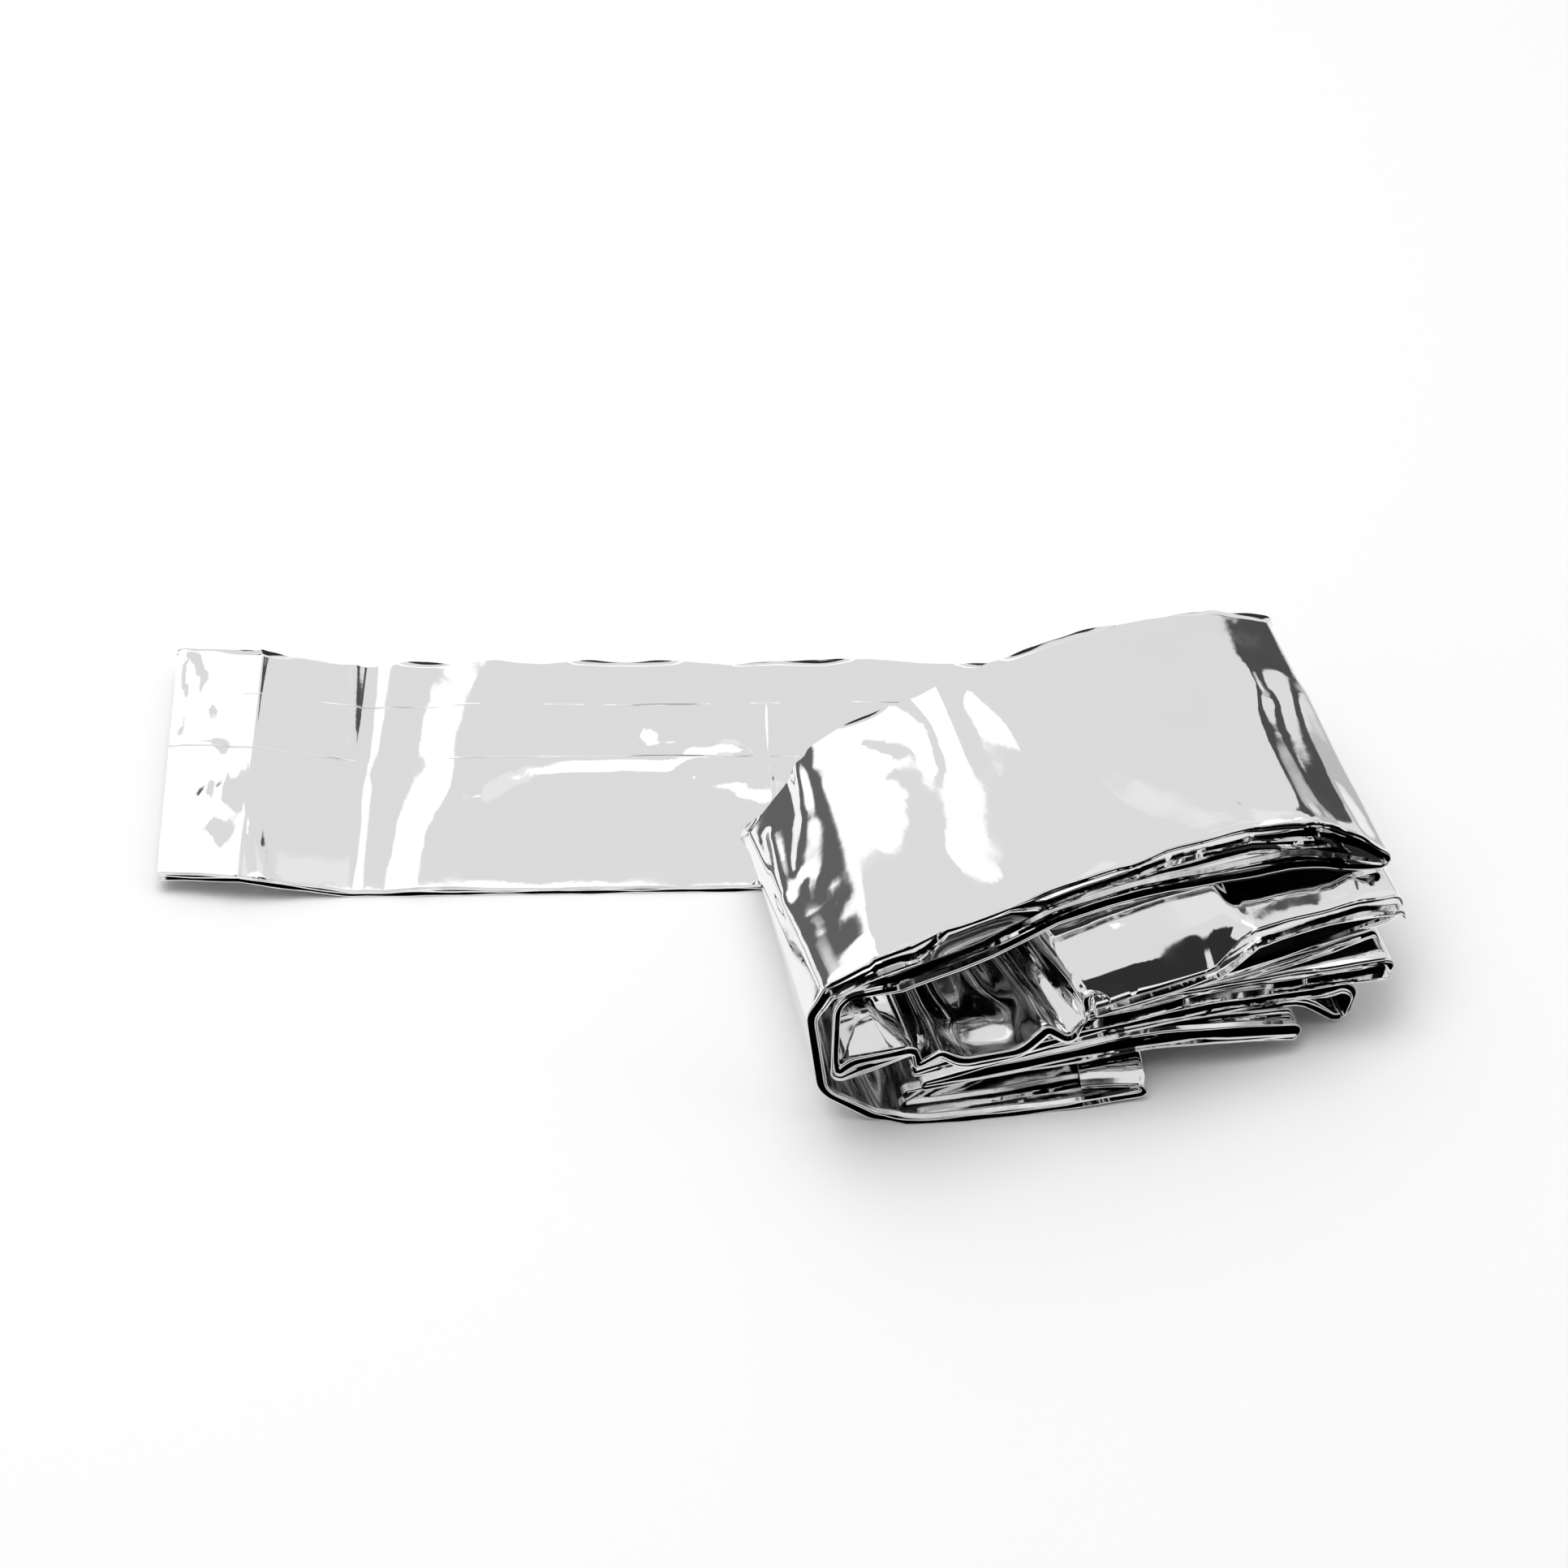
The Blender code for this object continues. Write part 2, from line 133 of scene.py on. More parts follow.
    Fold("front_left", 40.0, -138.0, 0.9, 8.0, 3.0, 1.8, 5.0, 0.6, 0.8, 1.5, 0.8, 2.0),
    Fold("front_right", 74.0, -133.5, 0.9, 4.0, 3.0, 1.8, 8.0, 0.6, 0.8, 1.5, 0.8, 4.0),
    Fold("tucked_in", 104.0, -129.6, 3.0, 3.0, 0.8, 1.8, 1.6, 1.0, 1.4, 0.0, 0.0, 3.0),
    Fold("tucked_out", 104.2, -129.0, 7.0, 3.0, -0.8, 1.6, 1.6, 1.0, 1.8, 0.0, 0.0, 2.0),
    Fold("tucked_end", 86.0, -128.0, 5.0, 4.0, 1.0, 1.6, 0.0, 0.8, 1.6, 0.0, 0.0, 3.0),
)
NAMES = [fold.name for fold in FOLDS]

# Stretches of the strip whose outer film shows from above, so it is built finely:
# the ply that is on the outside there, from one fold to another
Shown = namedtuple("Shown", "ply start end")
SHOWN = (
    Shown(0, "loose_end", "turn_under_in"),
    Shown(15, "right_3_out", "dip_6"),
    Shown(15, "right_4_out", "inner_wall"),
    Shown(15, "right_5_out", "front_left"),
    Shown(15, "tucked_in", "tucked_end"),
)

# Steps of a rounded corner: the most that one turns, and a set number at the folds seen closely
TURN_PER_STEP = math.radians(16.0)
CRISP = ("first_crease", "second_crease", "third_crease", "top_right")
CRISP_STEPS = 6
# A corner is rounded over its own bend, or more if its stack is thick, but never over more
# than this share of the shorter panel beside it
INNER_CLEARANCE = 1.2
SHARE_OF_SHORT_SIDE = 0.47
NEARLY_STRAIGHT = math.radians(1.0)
# Steps well below this length are left out, or take their direction from the steps beside them
SHORTEST_STEP = 0.3
# Places count the folds from 0 along the strip, and the stations of one corner span this much
CORNER_PLACES = 0.02


def unit(vectors):
    """Vectors scaled to length one."""
    return vectors / np.maximum(np.linalg.norm(vectors, axis=-1, keepdims=True), 1e-9)


def smooth(value):
    """Smooth step from 0 to 1."""
    value = np.clip(value, 0.0, 1.0)
    return value * value * (3.0 - 2.0 * value)


def crease_ends(fold):
    """Near and back end of a crease."""
    near = np.array((fold.x, fold.y, fold.z))
    level = math.sqrt(STRIP_WIDTH ** 2 - fold.rise ** 2)
    lean = math.radians(fold.lean)
    return near, near + np.array((-level * math.sin(lean), level * math.cos(lean), fold.rise))


def turn_angle(before, corner, after):
    """How far the path turns at a corner."""
    return math.acos(float(np.clip(unit(corner - before) @ unit(after - corner), -1.0, 1.0)))


def round_corner(before, corner, after, reach, steps):
    """Points on the arc that rounds a corner, starting and ending a reach away from it."""
    start = corner + unit(before - corner) * reach
    end = corner + unit(after - corner) * reach
    shares = np.linspace(0.0, 1.0, steps + 1)[:, None]
    if turn_angle(before, corner, after) < NEARLY_STRAIGHT:
        return start + (end - start) * shares
    bisector = (start + end) / 2.0 - corner
    centre = corner + unit(bisector) * reach ** 2 / np.linalg.norm(bisector)
    radius = np.linalg.norm(start - centre)
    sweep = turn_angle(centre, start, start + (end - centre))
    from_start = np.sin((1.0 - shares) * sweep) * (start - centre)
    from_end = np.sin(shares * sweep) * (end - centre)
    return centre + unit(from_start + from_end) * radius


class Strip:
    """Stations along the folded strip, with what varies from one to the next."""

    def __init__(self):
        ends = [crease_ends(fold) for fold in FOLDS]
        rows = []
        for index, fold in enumerate(FOLDS):
            values = (fold.thick, fold.first, fold.last, fold.out, fold.lip)
            if index in (0, len(FOLDS) - 1):
                rows.append((ends[index][0], ends[index][1], index, values))
                continue
            paths = list(zip(ends[index - 1], ends[index], ends[index + 1]))
            turn = max(turn_angle(*path) for path in paths)
            steps = CRISP_STEPS
            if fold.name not in CRISP:
                by_turn, by_length = turn / TURN_PER_STEP, 2.0 * fold.bend / fold.step
                steps = max(1, math.ceil(by_turn), math.ceil(by_length))
            needed = INNER_CLEARANCE * fold.thick / 2.0 * math.tan(turn / 2.0)
            arcs = []
            for before, corner, after in paths:
                shortest = min(np.linalg.norm(corner - before), np.linalg.norm(after - corner))
                reach = min(max(fold.bend, needed), SHARE_OF_SHORT_SIDE * shortest)
                arcs.append(round_corner(before, corner, after, reach, steps))
            for step, (near, far) in enumerate(zip(*arcs)):
                place = index - CORNER_PLACES / 2.0 + CORNER_PLACES * step / steps
                rows.append((near, far, place, values))
        self.near, self.far, self.place, values = self._fill(rows)
        self.thick, self.first, self.last, self.out, self.lip = values.T
        self.count = len(self.near)
        steps = np.linalg.norm(np.diff((self.near + self.far) / 2.0, axis=0), axis=1)
        self.run = np.concatenate(([0.0], np.cumsum(steps)))
        self.starts = np.interp(np.arange(len(FOLDS)), self.place, self.run)
        self.across = self.far - self.near
        self.near_normal = unit(np.cross(self._direction(self.near), self.across))
        self.far_normal = unit(np.cross(self._direction(self.far), self.across))

    @staticmethod
    def _fill(rows):
        """Stations with steps no longer than each panel's own, in order along the strip."""
        near, far, place, values = ([first] for first in rows[0])
        for start, end in zip(rows, rows[1:]):
            length = max(np.linalg.norm(end[0] - start[0]), np.linalg.norm(end[1] - start[1]))
            if length < SHORTEST_STEP / 4.0:
                continue
            pieces = max(1, math.ceil(length / FOLDS[math.ceil(end[2] - 0.5)].step))
            for piece in range(1, pieces + 1):
                share = piece / pieces
                near.append(start[0] + (end[0] - start[0]) * share)
                far.append(start[1] + (end[1] - start[1]) * share)
                place.append(start[2] + (end[2] - start[2]) * share)
                values.append([a + (b - a) * share for a, b in zip(start[3], end[3])])
        return np.array(near), np.array(far), np.array(place), np.array(values)

    @staticmethod
    def _direction(edge):
        """Direction of an edge at each station, halfway between the steps on its two sides."""
        steps = np.diff(edge, axis=0)
        lengths = np.linalg.norm(steps, axis=1)
        for index in np.nonzero(lengths < SHORTEST_STEP / 2.0)[0]:
            low, high = max(index - 1, 0), min(index + 2, len(edge) - 1)
            steps[index] = edge[high] - edge[low]
        steps = unit(steps)
        return unit(np.vstack((steps[:1], steps[:-1] + steps[1:], steps[-1:])))

    def span(self, start, end):
        """True for the stations from one fold to another."""
        low, high = NAMES.index(start) - CORNER_PLACES, NAMES.index(end) + CORNER_PLACES
        return (self.place >= low) & (self.place <= high)


# ---------------------------------------------------------------- plies of the stack

# Distances of the columns of vertices from the near edge: all of them where the film shows,
# and only those in COARSE, counted from 0, in the plies that are hidden
COLUMNS = np.array((
    0.0, 0.8, 2.0, 3.6, 5.5, 8.0, 11.0, 14.0, 18.0, 22.0, 26.0, 30.0,
    34.0, 38.0, 42.0, 46.0, 49.5, 52.5, 55.0, 57.5, 60.5, 64.0, 67.5, 71.0,
    75.0, 78.5, 82.0, 85.0, 88.0, 91.0, 94.0, 96.2, 97.3, 98.0,
))
LAST_COLUMN = len(COLUMNS) - 1
COARSE = (0, 2, 7, LAST_COLUMN)
# Distance from an edge over which the plies draw together into their lips, and the distance
# from the near edge over which hidden plies follow the bulges of the film that shows
EDGE_ZONE = 14.0
FOLLOW_ZONE = 10.0
# Free edges that lie in steps hang down in a soft curl: its depth, its reach, the spread at which
# it is full, the height above the floor at which it is full, its share in the film on top, and
# how much more of it the tip of a lip has
CURL = 1.1
CURL_ZONE = 4.0
CURL_SPREAD = 3.0
CURL_HEIGHT = 14.0
TOP_CURL = 0.3
TIP_CURL = 1.1
# No film goes below this height above the floor
LOWEST = 0.05
# A lip joins two plies: their distance from its middle, and how far its tip sticks out past them
LIP_GAP = 0.04
LIP_DEPTH = 0.20
# Share of the spread at which each pair of plies has its lip, and its group: the lips lie in steps
LIP_SHARES = (0.0, 0.04, 0.08, 0.24, 0.28, 0.32, 0.97, 1.0)
LIP_GROUPS = (0, 0, 0, 1, 1, 1, 2, 2)

# Unevenness along the strip: its size and wavelength, and where the seeds of its waves start
Waver = namedtuple("Waver", "size wavelength seed")
STEP_WAVER = Waver(0.04, 90.0, 7)
HEIGHT_WAVER = Waver(0.012, 17.0, 0)
GROUP_WAVER = Waver(0.3, 45.0, 20)
PAIR_WAVER = Waver(0.025, 9.0, 40)
BACK_WAVER = Waver(1.1, 70.0, 3)
BACK_PAIR_WAVER = Waver(0.25, 23.0, 60)
# The lips at the back edge stick out a little, and fan out on each side of one pair
BACK_OUT = 0.2
BACK_FAN = Waver(0.35, 110.0, 5)
BACK_FAN_PAIR = 2
# The rim of the back edge stands up here and there
BACK_RIM = Waver(1.3, 60.0, 5)
BACK_RIM_SHIFT = 0.1

# The waves in a ripple: wavelength as a share of the ripple's own, size, and share of its phase
WAVES = ((1.0, 1.0, 1.0), (0.43, 0.6, 1.7), (2.7, 0.4, 0.6))
WAVES_SIZE = 1.6
GOLDEN_ANGLE = 2.39996


def ripple(run, wavelength, seed):
    """Uneven wave along the strip, between about -1 and 1."""
    phase = seed * GOLDEN_ANGLE
    wave = 0.0
    for length, size, turn in WAVES:
        wave = wave + size * np.sin(2.0 * math.pi * run / (wavelength * length) + turn * phase)
    return wave / WAVES_SIZE


def waver(strip, kind, number=0):
    """Unevenness of one kind at each station, different for each number."""
    return kind.size * ripple(strip.run, kind.wavelength, number + kind.seed)


def fade(distance, zone):
    """Falls evenly from 1 at a distance of 0 to 0 at the end of the zone."""
    return np.clip(1.0 - distance / zone, 0.0, 1.0)


def near_lip(strip, pair):
    """Height and overhang of one folded lip at the near edge."""
    group = LIP_GROUPS[pair]
    share = LIP_SHARES[pair] + waver(strip, STEP_WAVER, group)
    height = strip.first - (strip.first + strip.last) * share + waver(strip, HEIGHT_WAVER, pair)
    overhang = strip.lip + strip.out * (share - 0.5) + waver(strip, GROUP_WAVER, group)
    return height, overhang + waver(strip, PAIR_WAVER, pair)


def edge_curl(strip, pair):
    """How far a pair of plies hangs down at the near edge at each station, along the normal."""
    free = np.clip(strip.near[:, 2] / CURL_HEIGHT, 0.0, 1.0) ** 2
    stepped = np.clip(np.abs(strip.out) / CURL_SPREAD, 0.0, 1.0)
    share = TOP_CURL if pair == len(LIP_SHARES) - 1 else 1.0
    return CURL * share * free * stepped * strip.near_normal[:, 2]


def far_lip(strip, pair):
    """Height and overhang of one folded lip, or cut edge, at the back edge."""
    height = strip.thick * (0.5 - pair / (PLIES / 2.0))
    overhang = BACK_OUT + waver(strip, BACK_WAVER) + waver(strip, BACK_PAIR_WAVER, pair)
    fan = np.maximum(ripple(strip.run, BACK_FAN.wavelength, BACK_FAN.seed), 0.0)
    return height, overhang + BACK_FAN.size * (pair - BACK_FAN_PAIR) * fan


def ply_points(strip, ply, relief):
    """Points of one ply at each station, in all its fine columns."""
    gap = -LIP_GAP if ply % 2 else LIP_GAP
    near_height, near_out = near_lip(strip, ply // 2)
    far_height, far_out = far_lip(strip, (ply + 1) // 2)
    middle_height = strip.thick * (0.5 - (ply + 0.5) / PLIES)

    from_near, from_far = COLUMNS[None, :], STRIP_WIDTH - COLUMNS[None, :]
    near_share = fade(from_near, EDGE_ZONE) ** 2
    far_share = 1.0 - smooth(from_far / EDGE_ZONE)
    height = middle_height[:, None] * (1.0 - near_share - far_share)
    height = height + (near_height + gap)[:, None] * near_share
    height = height + (far_height - gap)[:, None] * far_share
    curl = edge_curl(strip, ply // 2)
    height = height - curl[:, None] * fade(from_near, CURL_ZONE) ** 2

    position = from_near + (LIP_DEPTH - near_out)[:, None] * fade(from_near, EDGE_ZONE)
    position = position - (LIP_DEPTH - far_out)[:, None] * fade(from_far, EDGE_ZONE)
    return place_points(strip, position / STRIP_WIDTH, height + relief)


def place_points(strip, share, height):
    """Points at a share of the way across the strip and a height above its middle."""
    base = strip.near[:, None, :] + strip.across[:, None, :] * share[:, :, None]
    blend = np.clip(share, 0.0, 1.0)[:, :, None]
    near_normal, far_normal = strip.near_normal[:, None, :], strip.far_normal[:, None, :]
    normal = unit(near_normal * (1.0 - blend) + far_normal * blend)
    points = base + normal * height[:, :, None]
    points[:, :, 2] = np.maximum(points[:, :, 2], LOWEST)
    return points


def lip_points(strip, pair, near, relief):
    """Tips of one lip at each station."""
    if near:
        height, overhang = near_lip(strip, pair)
        share = -overhang / STRIP_WIDTH
        edge = relief[:, 0] - TIP_CURL * edge_curl(strip, pair)
    else:
        height, overhang = far_lip(strip, pair)
        share = 1.0 + overhang / STRIP_WIDTH
        edge = relief[:, LAST_COLUMN]
    return place_points(strip, share[:, None], (height + edge)[:, None])[:, 0]


# ---------------------------------------------------------------- creases and swellings of the film

# A soft ridge or trough.  Its crest runs through the points, each given as the distance along
# the strip from the fold and the distance across from the near edge.  The film falls from the
# crest on both sides.  Where the points run from the back edge to the near one, it falls over
# `before` towards the start of the strip and over `after` towards its end.  Where they run along
# the strip towards its end, `before` is on the near side and `after` on the back side.  Where
# they run the other way, the two sides change places.
# `start` and `end` are its size at the first and the last point, as shares.
Crest = namedtuple("Crest", "fold points before after height start end")
# Shares of straight and of smooth fall in the side of a crest
CREST_STRAIGHT, CREST_SMOOTH = 0.65, 0.35

# A low oval swelling: middle, half length, half width, turn of its length from the strip's, height
Swell = namedtuple("Swell", "fold along across length width turn height")

# A stretch of the strip, between two points each given as a fold and a distance along the strip
# from it, that bulges in a long tent (or sags if the height is negative).  Its crest lies `middle`
# across, and it falls to nothing over `near` and `far`.  `into` and `out` are its run-in and
# run-out.
Bulge = namedtuple("Bulge", "start from_start end from_end into out middle near far height")

CRESTS = (
    # end panel
    Crest("first_crease", ((0.0, 98.0), (0.0, 70.0), (0.0, 46.0)), 1.5, 1.6, 0.55, 1.0, 0.1),
    Crest("first_crease", ((-0.8, 0.0), (-0.8, 14.0), (-0.4, 34.0)), 1.2, 1.0, 0.5, 1.0, 0.1),
    Crest("loose_end", ((0.3, 96.0), (0.3, 82.0)), 1.0, 7.0, 0.9, 1.0, 0.7),
    Crest("loose_end", ((0.0, 60.3), (3.0, 68.0), (11.5, 70.0)), 6.0, 2.0, 0.85, 0.6, 1.0),
    Crest("loose_end", ((0.0, 52.0), (4.0, 55.0), (14.0, 55.5)), 6.0, 1.5, 0.85, 0.7, 1.0),
    Crest("loose_end", ((1.4, 24.5), (14.0, 35.0)), 14.0, 2.0, 1.8, 0.15, 1.0),
    Crest("loose_end", ((3.0, 17.0), (13.0, 18.6)), 11.0, 3.0, 1.3, 0.8, 1.0),
    Crest("loose_end", ((6.0, 90.0), (9.0, 84.0), (14.0, 83.0)), 2.0, 2.0, 0.6, 1.0, 0.6),
    Crest("loose_end", ((3.5, 97.0), (6.0, 91.0), (5.0, 86.0), (8.0, 80.0)),
          1.4, 1.0, 0.5, 1.0, 0.8),
    Crest("loose_end", ((2.0, 78.0), (6.0, 80.0), (10.0, 86.0)), 1.2, 1.4, 0.5, 1.0, 0.5),
    Crest("loose_end", ((12.5, 34.0), (14.5, 26.0), (18.0, 14.0)), 1.6, 2.0, 0.5, 0.6, 0.5),
    # panel between the first and the second crease
    Crest("first_crease", ((1.5, 26.0), (3.5, 14.0), (6.0, 2.0)), 2.6, 3.4, 0.5, 1.0, 1.3),
    Crest("first_crease", ((29.0, 98.0), (30.0, 78.0), (31.0, 54.0)), 10.0, 3.8, 1.1, 1.0, 0.1),
    # bright bands beside the second crease
    Crest("second_crease", ((8.0, 98.0), (7.6, 80.0), (6.5, 58.0), (3.2, 45.0)),
          6.0, 9.0, 0.55, 1.0, 0.7),
    Crest("second_crease", ((4.5, 38.0), (5.0, 25.0), (4.0, 0.0)), 4.0, 6.0, 0.42, 1.0, 1.0),
    Crest("second_crease",
          ((40.0, 98.0), (34.0, 84.0), (30.5, 60.0), (28.5, 45.0), (24.5, 33.0), (20.5, 0.0)),
          17.0, 46.0, 1.75, 1.0, 0.62),
    Crest("second_crease", ((16.0, 52.0), (9.0, 46.0), (4.0, 40.0)), 5.0, 5.0, 0.5, 1.0, 0.8),
    Crest("second_crease", ((18.0, 0.0), (20.0, 12.0), (21.5, 20.0)), 0.8, 0.8, 0.14, 1.0, 0.3),
    # long crescent and the patches after it
    Crest("second_crease",
          ((37.0, 40.5), (45.0, 47.0), (54.0, 51.5), (66.0, 54.0), (82.0, 54.5), (96.0, 53.5)),
          5.0, 22.0, 1.25, 0.8, 1.0),
    Crest("second_crease", ((93.0, 64.5), (101.0, 62.5), (110.0, 60.0)), 6.5, 16.0, 1.5, 1.0, 1.0),
    Crest("second_crease", ((105.0, 47.5), (113.0, 45.5), (124.0, 40.5)), 7.0, 18.0, 2.0, 0.5, 0.9),
    Crest("second_crease", ((113.0, 62.0), (120.0, 57.0), (127.0, 51.0)), 4.0, 8.0, 0.6, 1.0, 0.6),
    Crest("second_crease", ((106.0, 92.0), (114.0, 93.0), (124.0, 94.5)), 2.6, 3.0, 0.5, 1.0, 1.2),
    # third crease
    Crest("third_crease", ((0.0, 80.0), (0.0, 60.0), (0.0, 36.0), (0.0, 0.0)),
          1.1, 1.3, 0.28, 1.0, 0.7),
    Crest("third_crease", ((-2.0, 93.0), (0.5, 87.0), (2.6, 81.0)), 1.6, 1.6, 0.35, 1.0, 0.5),
    Crest("third_crease", ((-6.0, 86.0), (-3.0, 85.0), (-1.0, 81.0)), 1.6, 1.6, 0.3, 1.0, 0.5),
    Crest("third_crease", ((26.0, 76.0), (34.0, 66.0), (40.0, 60.0)), 8.0, 12.0, 0.5, 1.0, 0.6),
    # right end of the top: the film turns down before the last crease
    Crest("top_right", ((0.0, 60.0), (4.0, 49.0), (6.7, 30.0), (8.3, 9.0), (5.0, -1.0)),
          8.5, 20.0, 1.9, 0.7, 1.0),
    Crest("right_5_out", ((5.0, 66.0), (9.0, 44.0), (10.0, 20.0), (9.0, 0.0)),
          9.0, 9.0, 1.5, 1.0, 0.9),
    # long diagonals of the top
    Crest("top_middle", ((34.0, 86.0), (24.0, 60.0), (4.0, 34.0), (-26.0, 8.0)),
          34.0, 24.0, 2.0, 0.3, 1.0),
    Crest("top_middle", ((34.0, 86.0), (31.0, 50.0), (30.0, 14.0)), 16.0, 20.0, 1.0, 0.4, 1.0),
    Crest("top_crown", ((4.0, 97.0), (5.0, 88.0), (10.0, 60.0)), 8.0, 7.0, 0.9, 1.0, 0.4),
    Crest("top_crown", ((18.0, 98.0), (14.0, 84.0), (18.0, 66.0)), 8.0, 6.0, 0.8, 1.0, 0.4),
    Crest("top_crown", ((36.0, 92.0), (27.0, 80.0), (18.0, 72.0)), 4.0, 5.0, 0.8, 1.0, 0.5),
    Crest("top_crown", ((44.0, 84.0), (35.0, 71.0), (20.0, 64.0)), 5.0, 6.0, 0.9, 1.0, 0.5),
    # ramp, ridges and facet of the pleated layer
    Crest("ridge_right", ((-2.0, 60.0), (-2.0, 30.0), (-2.0, 10.0)), 3.0, 3.0, 0.8, 0.5, 1.0),
    Crest("valley_right", ((4.0, 12.0), (9.0, 11.0), (14.0, 12.0)), 9.0, 10.0, 2.2, 1.0, 0.8),
    Crest("right_4_out", ((11.0, 60.0), (11.0, 25.0), (14.0, 0.0)), 10.0, 12.0, 1.2, 1.0, 1.0),
    Crest("ridge_left", ((15.0, 40.0), (15.0, 0.0)), 14.5, 10.0, 4.0, 1.0, 1.0),
    # left shoulder of the top, where it turns down to the wall
    Crest("top_slope", ((10.0, 92.0), (12.0, 78.0), (18.0, 54.0), (24.0, 30.0), (28.0, 12.0)),
          36.0, 13.0, 2.8, 1.0, 0.7),
    Crest("top_slope", ((22.0, 74.0), (27.0, 60.0), (33.0, 50.0)), 4.0, 5.0, 1.0, 1.0, 0.6),
    Crest("top_slope", ((14.0, 98.0), (20.0, 84.0), (27.0, 70.0), (33.0, 58.0)),
          4.0, 6.0, 1.3, 0.8, 1.0),
    Crest("top_left", ((8.0, 84.0), (12.0, 66.0), (14.0, 52.0)), 3.5, 4.5, 1.1, 1.0, 1.0),
    Crest("top_left", ((2.0, 46.0), (6.0, 40.0), (12.0, 42.0)), 4.0, 3.0, 1.1, 1.0, 0.6),
    Crest("top_left", ((2.0, 32.0), (7.0, 27.0), (12.0, 30.0)), 4.0, 3.5, 1.1, 1.0, 0.6),
)

SWELLS = (
    Swell("top_middle", 12.0, 70.0, 26.0, 16.0, 10.0, 0.5),
    Swell("top_crown", 18.0, 30.0, 16.0, 22.0, 0.0, 0.6),
)

BULGES = (
    # box and its near side, which turns down
    Bulge("shelf_crease", 0.0, "box_left", 1.5, 6.0, 2.5, 30.0, 24.0, 26.0, 8.0),
    Bulge("shelf_crease", 0.0, "box_middle", 10.0, 14.0, 18.0, 0.0, 1.0, 8.0, -8.0),
    Bulge("box_middle", -8.0, "box_left", 1.5, 18.0, 1.5, 0.0, 1.0, 4.2, -8.0),
    # ramp and facet
    Bulge("ridge_left", 0.5, "ramp_foot", 0.0, 3.0, 6.0, 13.5, 14.0, 30.0, 8.0),
    Bulge("box_foot", -4.0, "facet_foot", 1.0, 3.0, 3.0, 20.0, 20.0, 40.0, 7.0),
    # near side of the end that is tucked in
    Bulge("tucked_in", 0.5, "tucked_end", 1.0, 2.0, 1.0, 0.0, 1.0, 4.5, -3.4),
)


def crest_relief(crest, along, across):
    """Height of one ridge at every point of the strip."""
    points = np.array(crest.points)
    nearest = np.full(along.shape, np.inf)
    side = np.zeros(along.shape)
    travelled = np.zeros(along.shape)
    lengths = np.linalg.norm(np.diff(points, axis=0), axis=1)
    for index, (start, end) in enumerate(zip(points, points[1:])):
        step = end - start
        share = ((along - start[0]) * step[0] + (across - start[1]) * step[1]) / (step @ step)
        share = np.clip(share, 0.0, 1.0)
        gap_along = along - start[0] - step[0] * share
        gap_across = across - start[1] - step[1] * share
        gap = np.hypot(gap_along, gap_across)
        closer = gap < nearest
        nearest = np.where(closer, gap, nearest)
        side = np.where(closer, step[0] * gap_across - step[1] * gap_along, side)
        travelled = np.where(closer, lengths[:index].sum() + share * lengths[index], travelled)
    size = crest.start + (crest.end - crest.start) * travelled / lengths.sum()
    reach = np.where(side > 0.0, crest.after, crest.before) * size
    fall = fade(nearest, reach)
    return crest.height * size * (CREST_STRAIGHT * fall + CREST_SMOOTH * smooth(fall))


def swell_relief(swell, along, across):
    """Height of one swelling at every point of the strip."""
    turn = math.radians(swell.turn)
    gap_along, gap_across = along - swell.along, across - swell.across
    lengthwise = gap_along * math.cos(turn) + gap_across * math.sin(turn)
    sideways = gap_across * math.cos(turn) - gap_along * math.sin(turn)
    radius = (lengthwise / swell.length) ** 2 + (sideways / swell.width) ** 2
    return swell.height * np.clip(1.0 - radius, 0.0, 1.0) ** 2


def bulge_relief(bulge, strip, across):
    """Height of one long tent or sag at every point of the strip."""
    start = strip.starts[NAMES.index(bulge.start)] + bulge.from_start
    end = strip.starts[NAMES.index(bulge.end)] + bulge.from_end
    length = np.clip((strip.run - start) / bulge.into, 0.0, 1.0)
    length = length * np.clip((end - strip.run) / bulge.out, 0.0, 1.0)
    gap = across - bulge.middle
    tent = np.clip(1.0 - np.where(gap > 0.0, gap / bulge.far, -gap / bulge.near), 0.0, 1.0)
    return bulge.height * length[:, None] * tent


def surface_relief(strip):
    """How far the film that shows stands out from the flat panels."""
    relief = np.zeros((strip.count, len(COLUMNS)))
    across = np.broadcast_to(COLUMNS[None, :], relief.shape)
    for mark in CRESTS + SWELLS:
        along = strip.run - strip.starts[NAMES.index(mark.fold)]
        along = np.broadcast_to(along[:, None], relief.shape)
        mark_relief = crest_relief if isinstance(mark, Crest) else swell_relief
        relief += mark_relief(mark, along, across)
    for bulge in BULGES:
        relief += bulge_relief(bulge, strip, across)
    rim = ripple(strip.run, BACK_RIM.wavelength, BACK_RIM.seed) + BACK_RIM_SHIFT
    relief[:, LAST_COLUMN] += BACK_RIM.size * np.clip(rim, 0.0, 1.0)
    return relief


def follow(strip, relief, ply):
    """How far one ply follows the film that shows, which is the first ply or the last.

    The plies under it follow its bulges only close to the near edge, and its sags everywhere.
    """
    outer = np.zeros(strip.count)
    depth = np.zeros(strip.count)
    for shown in SHOWN:
        inside = strip.span(shown.start, shown.end)
        outer[inside] = 1.0 if shown.ply == 0 else -1.0
        depth[inside] = abs(ply - shown.ply) / (PLIES - 1.0)
    depth = depth[:, None]
    follows = (depth == 0.0) | (COLUMNS < FOLLOW_ZONE)[None, :]
    bulge = np.maximum(relief, 0.0) * np.where(follows, 1.0 - depth, 0.0)
    return (bulge + np.minimum(relief, 0.0)) * outer[:, None]


